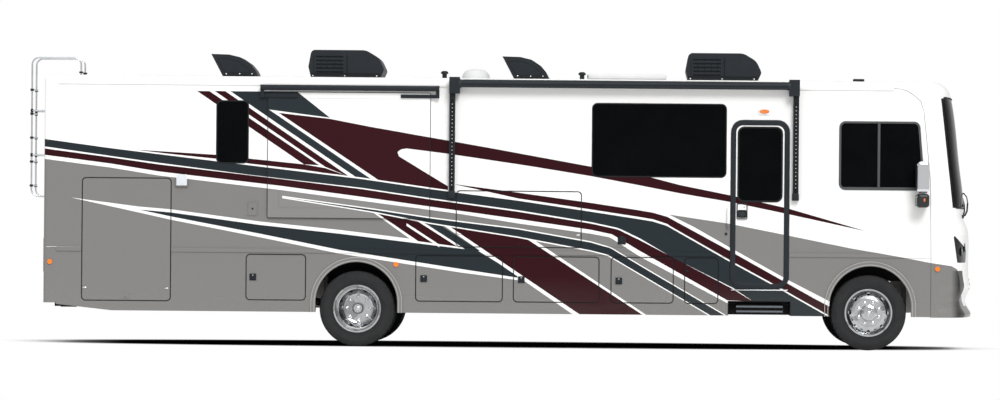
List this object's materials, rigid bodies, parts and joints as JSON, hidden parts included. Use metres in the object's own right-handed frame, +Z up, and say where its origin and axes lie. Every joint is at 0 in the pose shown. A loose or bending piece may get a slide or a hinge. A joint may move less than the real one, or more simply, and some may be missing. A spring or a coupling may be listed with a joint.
{
  "type": "motorhome",
  "caption": "Bus-like motorhome with slide-out rooms, side bays, roof coolers, patio awning, entry step, rear ladder and a hitch receiver; its wheels roll and steer, and its doors open.",
  "frame": {"origin": "centre of the whole vehicle's box, at the ground under its tyres", "axes": "+X forwards, +Y to the vehicle's left, +Z up; the entry door is on the -Y side"},
  "size_m": [11.9212, 3.064, 3.75],
  "materials": {
    "shell_gloss": "gloss gel coat, white over grey with painted stripes",
    "glass_dark": "dark tinted glass",
    "lamp_lens": "clear and coloured lamp lenses",
    "plastic_black": "satin black",
    "plastic_white": "satin white",
    "tyre_rubber": "matt black, dusty",
    "wheel_alloy": "polished",
    "axle_iron": "painted black",
    "frame_steel": "satin black paint",
    "spring_rubber": "matt",
    "floor_wood": "sealed boards",
    "liner_plastic": "textured grey",
    "awning_metal": "white and bare satin",
    "mirror_chrome": "bright",
    "dash_plastic": "grained",
    "seat_fabric": "woven"
  },
  "bodies": {
    "root": {"air_conditioners": "plastic_black", "air_springs": "spring_rubber", "axles": "axle_iron", "body_trim": "plastic_black", "cab_interior": "dash_plastic", "chassis_members": "frame_steel", "chassis_rails": "frame_steel", "compartments": "liner_plastic", "driveline": "frame_steel", "engine_block": "axle_iron", "entry_stairs": "floor_wood", "front_cap": "shell_gloss", "front_grille": "plastic_black", "ladder": "awning_metal", "lamps": "lamp_lens", "left_skirt": "shell_gloss", "left_wall": "shell_gloss", "main_floor": "floor_wood", "mirrors": "mirror_chrome", "patio_awning": "awning_metal", "rear_cap": "shell_gloss", "right_skirt": "shell_gloss", "right_wall": "shell_gloss", "roof": "shell_gloss", "roof_vents": "plastic_white", "seat_cushions": "seat_fabric", "side_compartment": "liner_plastic", "side_windows": "glass_dark", "step_housing": "frame_steel", "windshield": "glass_dark"},
    "knuckle_right_body": {"knuckle_right": "axle_iron"},
    "knuckle_left_body": {"knuckle_left": "axle_iron"},
    "front_hub_right": {"front_wheel_right": "wheel_alloy", "front_tyre_right": "tyre_rubber"},
    "front_hub_left": {"front_wheel_left": "wheel_alloy", "front_tyre_left": "tyre_rubber"},
    "rear_hub_right": {"rear_wheels_right": "wheel_alloy", "rear_tyres_right": "tyre_rubber"},
    "rear_hub_left": {"rear_wheels_left": "wheel_alloy", "rear_tyres_left": "tyre_rubber"},
    "steering": {"steering_wheel": "dash_plastic"},
    "entry": {"entry_door": "shell_gloss", "entry_door_glass": "glass_dark"},
    "rear_side": {"rear_side_door": "shell_gloss"},
    "media_hatch": {"entertainment_hatch": "shell_gloss"},
    "engine_hatch": {"engine_door": "shell_gloss"},
    "room_right": {"slide_right": "shell_gloss"},
    "room_left": {"slide_left": "shell_gloss", "slide_left_windows": "glass_dark"},
    "lid_rear": {"fan_lid_rear": "plastic_black"},
    "lid_front": {"fan_lid_front": "plastic_black"},
    "step_swing": {"step_arms": "frame_steel"},
    "step_platform": {"step_treads": "awning_metal"},
    "bay_door_1": {"cargo_door_1": "shell_gloss"},
    "bay_door_2": {"cargo_door_2": "shell_gloss"},
    "bay_door_3": {"cargo_door_3": "shell_gloss"},
    "bay_door_4": {"cargo_door_4": "shell_gloss"},
    "bay_door_5": {"cargo_door_5": "shell_gloss"},
    "left_bay_door_2": {"left_cargo_door_2": "shell_gloss"},
    "left_bay_door_3": {"left_cargo_door_3": "shell_gloss"}
  },
  "joints": [
    {"name": "steer_right", "type": "hinge", "parent": "root", "child": "knuckle_right_body", "pos_m": [4.5825, -0.88, 0.473], "axis": [0, 0, 1], "range_deg": [-35, 35]},
    {"name": "steer_left", "type": "hinge", "parent": "root", "child": "knuckle_left_body", "pos_m": [4.5825, 0.88, 0.473], "axis": [0, 0, 1], "range_deg": [-35.5, 35.5]},
    {"name": "steering_turn", "type": "hinge", "parent": "root", "child": "steering", "pos_m": [5.0915, 0.61, 1.905], "axis": [-0.5299, 0, 0.848], "range_deg": [-438.5, 438.5]},
    {"name": "roll_front_right", "type": "hinge", "parent": "knuckle_right_body", "child": "front_hub_right", "pos_m": [4.5825, -1.085, 0.473], "axis": [0, 1, 0], "continuous": true},
    {"name": "roll_front_left", "type": "hinge", "parent": "knuckle_left_body", "child": "front_hub_left", "pos_m": [4.5825, 1.085, 0.473], "axis": [0, 1, 0], "continuous": true},
    {"name": "roll_rear_right", "type": "hinge", "parent": "root", "child": "rear_hub_right", "pos_m": [-1.8185, -0.956, 0.473], "axis": [0, 1, 0], "continuous": true},
    {"name": "roll_rear_left", "type": "hinge", "parent": "root", "child": "rear_hub_left", "pos_m": [-1.8185, 0.956, 0.473], "axis": [0, 1, 0], "continuous": true},
    {"name": "entry_door_swing", "type": "hinge", "parent": "root", "child": "entry", "pos_m": [3.5755, -1.27, 0.762], "axis": [0, 0, 1], "range_deg": [0, 90]},
    {"name": "bay_door_1_swing", "type": "hinge", "parent": "root", "child": "bay_door_1", "pos_m": [-2.4605, -1.27, 0.573], "axis": [0, 0, 1], "range_deg": [0, 90]},
    {"name": "bay_door_2_swing", "type": "hinge", "parent": "root", "child": "bay_door_2", "pos_m": [0.0005, -1.27, 0.573], "axis": [0, 0, 1], "range_deg": [0, 90]},
    {"name": "bay_door_3_swing", "type": "hinge", "parent": "root", "child": "bay_door_3", "pos_m": [1.2065, -1.27, 0.573], "axis": [0, 0, 1], "range_deg": [0, 90]},
    {"name": "bay_door_4_swing", "type": "hinge", "parent": "root", "child": "bay_door_4", "pos_m": [2.1355, -1.27, 0.573], "axis": [0, 0, 1], "range_deg": [0, 90]},
    {"name": "bay_door_5_swing", "type": "hinge", "parent": "root", "child": "bay_door_5", "pos_m": [2.6945, -1.27, 0.573], "axis": [0, 0, 1], "range_deg": [0, 90]},
    {"name": "left_bay_door_2_swing", "type": "hinge", "parent": "root", "child": "left_bay_door_2", "pos_m": [0.0005, 1.27, 0.573], "axis": [0, 0, -1], "range_deg": [0, 90]},
    {"name": "left_bay_door_3_swing", "type": "hinge", "parent": "root", "child": "left_bay_door_3", "pos_m": [1.2065, 1.27, 0.573], "axis": [0, 0, -1], "range_deg": [0, 90]},
    {"name": "rear_side_lift", "type": "hinge", "parent": "root", "child": "rear_side", "pos_m": [-5.2605, -1.27, 2.085], "axis": [-1, 0, 0], "range_deg": [0, 80]},
    {"name": "media_hatch_lift", "type": "hinge", "parent": "root", "child": "media_hatch", "pos_m": [-0.5855, -1.27, 1.959], "axis": [-1, 0, 0], "range_deg": [0, 85]},
    {"name": "engine_hatch_lift", "type": "hinge", "parent": "root", "child": "engine_hatch", "pos_m": [-5.7435, 0, 1.62], "axis": [0, 1, 0], "range_deg": [0, 80]},
    {"name": "room_right_slide", "type": "slide", "parent": "root", "child": "room_right", "axis": [0, -1, 0], "range_m": [0, 0.55]},
    {"name": "room_left_slide", "type": "slide", "parent": "root", "child": "room_left", "axis": [0, 1, 0], "range_m": [0, 0.8]},
    {"name": "lid_rear_tilt", "type": "hinge", "parent": "root", "child": "lid_rear", "pos_m": [-3.1715, 0, 3.412], "axis": [0, 1, 0], "range_deg": [0, 80]},
    {"name": "lid_front_tilt", "type": "hinge", "parent": "root", "child": "lid_front", "pos_m": [0.5505, 0, 3.412], "axis": [0, 1, 0], "range_deg": [0, 80]},
    {"name": "step_unfold", "type": "hinge", "parent": "root", "child": "step_swing", "pos_m": [2.8175, -1.105, 0.575], "axis": [-1, 0, 0], "range_deg": [0, 150]},
    {"name": "step_level", "type": "hinge", "parent": "step_swing", "child": "step_platform", "pos_m": [2.9205, -0.90937, 0.53342], "axis": [-1, 0, 0], "range_deg": [-151, 1]}
  ],
  "couplings": [
    {"joint": "steer_left", "follows": "steer_right", "ratio": 1},
    {"joint": "steering_turn", "follows": "steer_right", "ratio": 12.5},
    {"joint": "step_level", "follows": "step_unfold", "ratio": -1}
  ]
}
